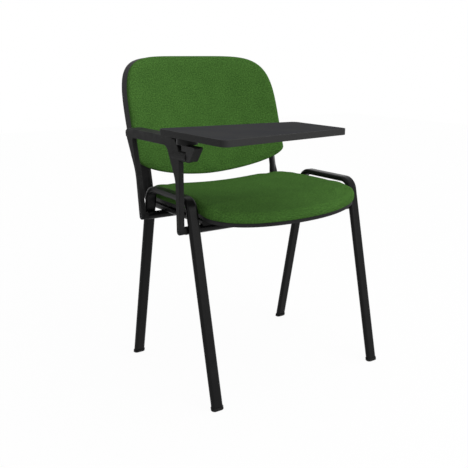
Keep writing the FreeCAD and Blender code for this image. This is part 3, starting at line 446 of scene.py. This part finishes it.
SEAT_SIDE = 64
SEAT_FRONT_ROLL = 0.125
SEAT_FRONT_DROP = 0.0145
SEAT_DISH = 0.015
SEAT_CROWN = 0.0265
SEAT_EDGE_CROWN = 0.0005
SEAT_WIDEST = 0.070
SEAT_SWELL = 0.004
SEAT_FRONT_POWER = 2.0
SEAT_REAR_POWER = 7.0
SEAT_EDGE_LOW = 0.008
SEAT_EDGE_REACH = 0.014
SEAT_EDGE_UNDER = 0.003
SEAT_EDGE_STEPS = (5, 9)

seat_low, seat_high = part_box("seat_cover")
seat_mid = (seat_low.x + seat_high.x) / 2
seat_half = (seat_high.x - seat_low.x) / 2
seat_widest = seat_low.y + SEAT_WIDEST
seam_mid = seat_low.z + SEAT_FRONT_DROP


def seat_outline(angles, inset):
    """The seat from above: a half ellipse in front, nearly square behind."""
    return superellipse(angles, inset, seat_half, SEAT_WIDEST, seat_high.y - seat_widest,
                        SEAT_FRONT_POWER, SEAT_REAR_POWER)


def seat_place(plan, level):
    """Puts a pad point on the seam line: dished across, rolled down in front, crowned towards the sides."""
    across = plan[:, 0] / seat_half
    roll = np.maximum(0, (SEAT_FRONT_ROLL - SEAT_WIDEST - plan[:, 1]) / SEAT_FRONT_ROLL) ** 2
    seam = seam_mid - SEAT_FRONT_DROP * roll + SEAT_DISH * (1 - roll) * across ** 2
    crown = 1 + SEAT_EDGE_CROWN / SEAT_CROWN * across ** 2
    return np.column_stack([seat_mid + plan[:, 0], seat_widest + plan[:, 1], seam + level * crown])


insets, heights = rolled_edge(SEAT_CROWN, SEAT_EDGE_LOW, SEAT_EDGE_REACH, SEAT_EDGE_UNDER, *SEAT_EDGE_STEPS)
plan, level, cloth_place, faces = pad_parts(seat_outline, insets, heights, SEAT_SIDE)
seat_pad, kept = pad_object("seat_pad", seat_place(plan, level), cloth_place, faces)
swell(seat_pad, level[kept], SEAT_SWELL)
refine(seat_pad)
seat_pad.data.materials.append(wool)
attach(seat_pad, "chair")
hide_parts("seat_cover", "seat_foam")

# Back pad: the same cloth over thin foam on the back's board, drawn round the edge to the shell's rim.
# The board wraps round the sitter, so the pad is hollow across and leans back with the uprights.

BACK_SIDE = 64
BACK_LEAN = 0.308
BACK_SAG = 0.049
BACK_WIDEST = 0.0635
BACK_DEPTH = 0.0136
BACK_EDGE_EASE = 0.003
BACK_SWELL = 0.003
BACK_FOOT_POWER = 1.75
BACK_TOP_POWER = 5.6
BACK_EDGE_LOW = 0.005
BACK_EDGE_REACH = 0.007
BACK_EDGE_UNDER = 0.002
BACK_EDGE_STEPS = (4, 8)

back_low, back_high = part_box("back_cover")
back_mid = (back_low.x + back_high.x) / 2
back_half = (back_high.x - back_low.x) / 2
back_widest = back_low.z + BACK_WIDEST


def back_outline(angles, inset):
    """The back from in front: a shallow bowed foot, and broad shoulders above."""
    return superellipse(angles, inset, back_half, BACK_WIDEST, back_high.z - back_widest,
                        BACK_FOOT_POWER, BACK_TOP_POWER)


def back_place(plan, level):
    """Puts a pad point in front of the rim: leaning back, and wrapped forwards at both sides."""
    across = (plan[:, 0] / back_half) ** 2
    rim = BACK_LEAN * plan[:, 1] - (BACK_SAG - BACK_EDGE_EASE) * across
    return np.column_stack([back_mid + plan[:, 0], rim - level, back_widest + plan[:, 1]])


insets, heights = rolled_edge(BACK_DEPTH, BACK_EDGE_LOW, BACK_EDGE_REACH, BACK_EDGE_UNDER, *BACK_EDGE_STEPS)
plan, level, cloth_place, faces = pad_parts(back_outline, insets, heights, BACK_SIDE)
points = back_place(plan, level)
points[:, 1] += back_low.y - points[:, 1].min()
back_pad, kept = pad_object("back_pad", points, cloth_place, faces)
swell(back_pad, level[kept], BACK_SWELL)
refine(back_pad)
back_pad.data.materials.append(wool)
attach(back_pad, "chair")
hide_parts("back_cover", "back_foam")

# Arm: one moulding in black glass-filled nylon with two limbs, a rail to rest on and the barrel of the
# tablet's hinge, bolted to the ends of the cross tubes. Its top is polished a little by use.

ARM_BLACK = (0.020, 0.020, 0.0202, 1)
ARM_GREY = (0.026, 0.026, 0.0262, 1)
SPARKS_PER_METRE = 1300.0
SPARK_DEPTH = 0.00010
REST_HEIGHT = (0.60, 0.64)
HANDLED = 0.03
ARM_CLOUD = 0.02

arm_finish, feed_arm, at = new_finish("arm_plastic", Specular_IOR_Level=0.07)
spark = at.node("TexVoronoi", {}, {"Vector": at, "Scale": SPARKS_PER_METRE}, "Distance")
handled = at.axis("Z").between(*REST_HEIGHT) * at.noise(HANDLED, 4.0).between(0.35, 0.7)
cloudy = at.noise(ARM_CLOUD, 4.0)
feed_arm(Base_Color=cloudy.between(0.3, 0.75).mix(ARM_BLACK, ARM_GREY),
         Roughness=0.55 - 0.14 * handled + 0.08 * cloudy,
         Normal=spark.bump(SPARK_DEPTH, 0.5))
dress(arm_finish, "arm")

# Tablet hinge: the bush and the swivel disc are turned acetal, the hinge block is a casting painted
# with a black hammer finish. The block turns on the pin, and the disc on the stud.

HINGE_BLACK = (0.018, 0.018, 0.0185, 1)
HINGE_GREY = (0.034, 0.034, 0.0345, 1)
HAMMER = 0.0022
HAMMER_DEPTH = 0.00018
HINGE_CLOUD = 0.02
ACETAL_LINE = 0.0007
ACETAL_DEPTH = 0.00004

hinge, feed_hinge, at = new_finish("hinge_paint", Specular_IOR_Level=0.08)
hammer = at.noise(HAMMER, 1.0)
feed_hinge(Base_Color=at.noise(HINGE_CLOUD, 3.0).mix(HINGE_BLACK, HINGE_GREY),
           Roughness=0.40 + 0.15 * hammer,
           Normal=hammer.bump(HAMMER_DEPTH, 0.5))
dress(hinge, "hinge_block")

acetal, feed_acetal, at = new_finish("acetal", Specular_IOR_Level=0.1)
turned = at.noise(ACETAL_LINE, 2.0, (1, 1, 5))
feed_acetal(Base_Color=turned.mix(PLASTIC_BLACK, SHELL_GREY), Roughness=0.42 + 0.12 * turned,
            Normal=turned.bump(ACETAL_DEPTH, 0.4))
dress(acetal, "pivot_bush", "swivel_disc")

# Tablet: a chipboard panel faced in charcoal melamine with a pearl texture, and a black plastic
# band glued round its edge. Its top is a little worn where an arm rests.

MELAMINE = (0.051, 0.0515, 0.0555, 1)
MELAMINE_WORN = (0.056, 0.0565, 0.058, 1)
BAND = (0.039, 0.039, 0.0392, 1)
BAND_PALE = (0.046, 0.046, 0.0462, 1)
PEARL = 0.0012
PEARL_DEPTH = 0.00010
WORN_PATCH = 0.09
STREAK = 0.004
STREAK_DEPTH = 0.00006

melamine, feed_melamine, at = new_finish("melamine", Specular_IOR_Level=0.0)
pearl = at.noise(PEARL, 2.0)
worn = at.noise(WORN_PATCH, 4.0).between(0.4, 0.7)
feed_melamine(Base_Color=worn.mix(MELAMINE, MELAMINE_WORN), Roughness=0.50 + 0.08 * pearl - 0.06 * worn,
              Normal=pearl.bump(PEARL_DEPTH, 0.4))
dress(melamine, "tablet_board")

band, feed_band, at = new_finish("edge_band", Specular_IOR_Level=0.03)
streak = at.noise(STREAK, 4.0, (1, 1, 6))
feed_band(Base_Color=streak.between(0.3, 0.8).mix(BAND, BAND_PALE), Roughness=0.45 + 0.12 * streak,
          Normal=streak.bump(STREAK_DEPTH, 0.4))
dress(band, "tablet_edge")

# Studio: a pale floor that keeps the chair's shadow, an even white surround, a broad soft key from the
# front, a narrow strip on the left that draws the tubes' edges, and the photograph's camera.

FLOOR_HALF = 6.0
FLOOR_GLOW = 0.95
FLOOR_WHITE = (1.0, 1.0, 1.0, 1)
FLOOR_GREY = (0.35, 0.35, 0.35, 1)
SURROUND_DIM = 0.21
SURROUND_BRIGHT = 1.28
BRIGHT_SIDE = (0.52, -0.56, 0.645)
KEY = ((0.8, -2.9, 1.5), (2.4, 1.8), 22.0)
EDGE = ((-2.2, 0.9, 1.5), (0.12, 1.6), 2.0)
AIM = Vector((0.0, 0.0, 0.45))

floor_mesh = bpy.data.meshes.new("floor")
floor_mesh.from_pydata([(-FLOOR_HALF, -FLOOR_HALF, 0), (FLOOR_HALF, -FLOOR_HALF, 0),
                        (FLOOR_HALF, FLOOR_HALF, 0), (-FLOOR_HALF, FLOOR_HALF, 0)], [], [(0, 1, 2, 3)])
floor = bpy.data.objects.new("floor", floor_mesh)
bpy.context.scene.collection.objects.link(floor)


def seen_directly(tree):
    """1 on camera, glossy and transmission rays, 0 on the rays that light the object."""
    path = tree.nodes.new("ShaderNodeLightPath")
    names = ("Is Camera Ray", "Is Glossy Ray", "Is Transmission Ray")
    camera, glossy, through = (Flow(path.outputs[name]) for name in names)
    return camera.maths("MAXIMUM", camera.maths("MAXIMUM", camera, glossy), through)


floor_finish = bpy.data.materials.new("studio_floor")
floor_finish.use_nodes = True
tree = floor_finish.node_tree
direct = seen_directly(tree)
tree.nodes.remove(tree.nodes["Principled BSDF"])
paper = direct.node("BsdfDiffuse", {}, {"Color": direct.mix(FLOOR_GREY, FLOOR_WHITE)})
glow = direct.node("Emission", {}, {"Color": FLOOR_WHITE, "Strength": 1.0})
paint = direct.node("MixShader", {}, {0: direct * FLOOR_GLOW, 1: paper, 2: glow})
tree.links.new(paint.socket, tree.nodes["Material Output"].inputs["Surface"])
floor.data.materials.append(floor_finish)

world = bpy.data.worlds.new("surround")
world.use_nodes = True
bpy.context.scene.world = world
tree = world.node_tree
direct = seen_directly(tree)
background = tree.nodes["Background"]
background.inputs["Color"].default_value = (1, 1, 1, 1)
way = Flow(tree.nodes.new("ShaderNodeTexCoord").outputs["Generated"])
facing = way.node("VectorMath", {"operation": "DOT_PRODUCT"}, {0: way, 1: BRIGHT_SIDE}, "Value")
lit = SURROUND_DIM + SURROUND_BRIGHT * facing.maths("MAXIMUM", facing, 0.0)
tree.links.new((direct + (1 - direct) * lit).socket, background.inputs["Strength"])


def soft_light(name, place, size, power):
    """An oblong lamp that faces the chair."""
    lamp = bpy.data.lights.new(name, "AREA")
    lamp.shape = "RECTANGLE"
    lamp.size, lamp.size_y = size
    lamp.energy = power
    made = bpy.data.objects.new(name, lamp)
    made.location = place
    made.rotation_euler = (AIM - Vector(place)).to_track_quat("-Z", "Y").to_euler()
    bpy.context.scene.collection.objects.link(made)


soft_light("key", *KEY)
soft_light("edge", *EDGE)

EYE = (-1.06375, -1.52097, 0.8304)
TURN = math.radians(-34.156)
TILT = math.radians(14.447)
ROLL = math.radians(0.125)
LENS = 54.22

back = np.array([math.sin(TURN) * math.cos(TILT), -math.cos(TURN) * math.cos(TILT), math.sin(TILT)])
level_right = np.array([math.cos(TURN), math.sin(TURN), 0])
level_up = np.cross(back, level_right)
right = math.cos(ROLL) * level_right + math.sin(ROLL) * level_up
up = math.cos(ROLL) * level_up - math.sin(ROLL) * level_right
camera_data = bpy.data.cameras.new("camera")
camera_data.lens = LENS
camera = bpy.data.objects.new("camera", camera_data)
turn = Matrix(np.column_stack([right, up, back]).tolist())
camera.matrix_world = Matrix.LocRotScale(Vector(EYE), turn, None)
bpy.context.scene.collection.objects.link(camera)
bpy.context.scene.camera = camera
bpy.context.scene.view_settings.view_transform = "Standard"
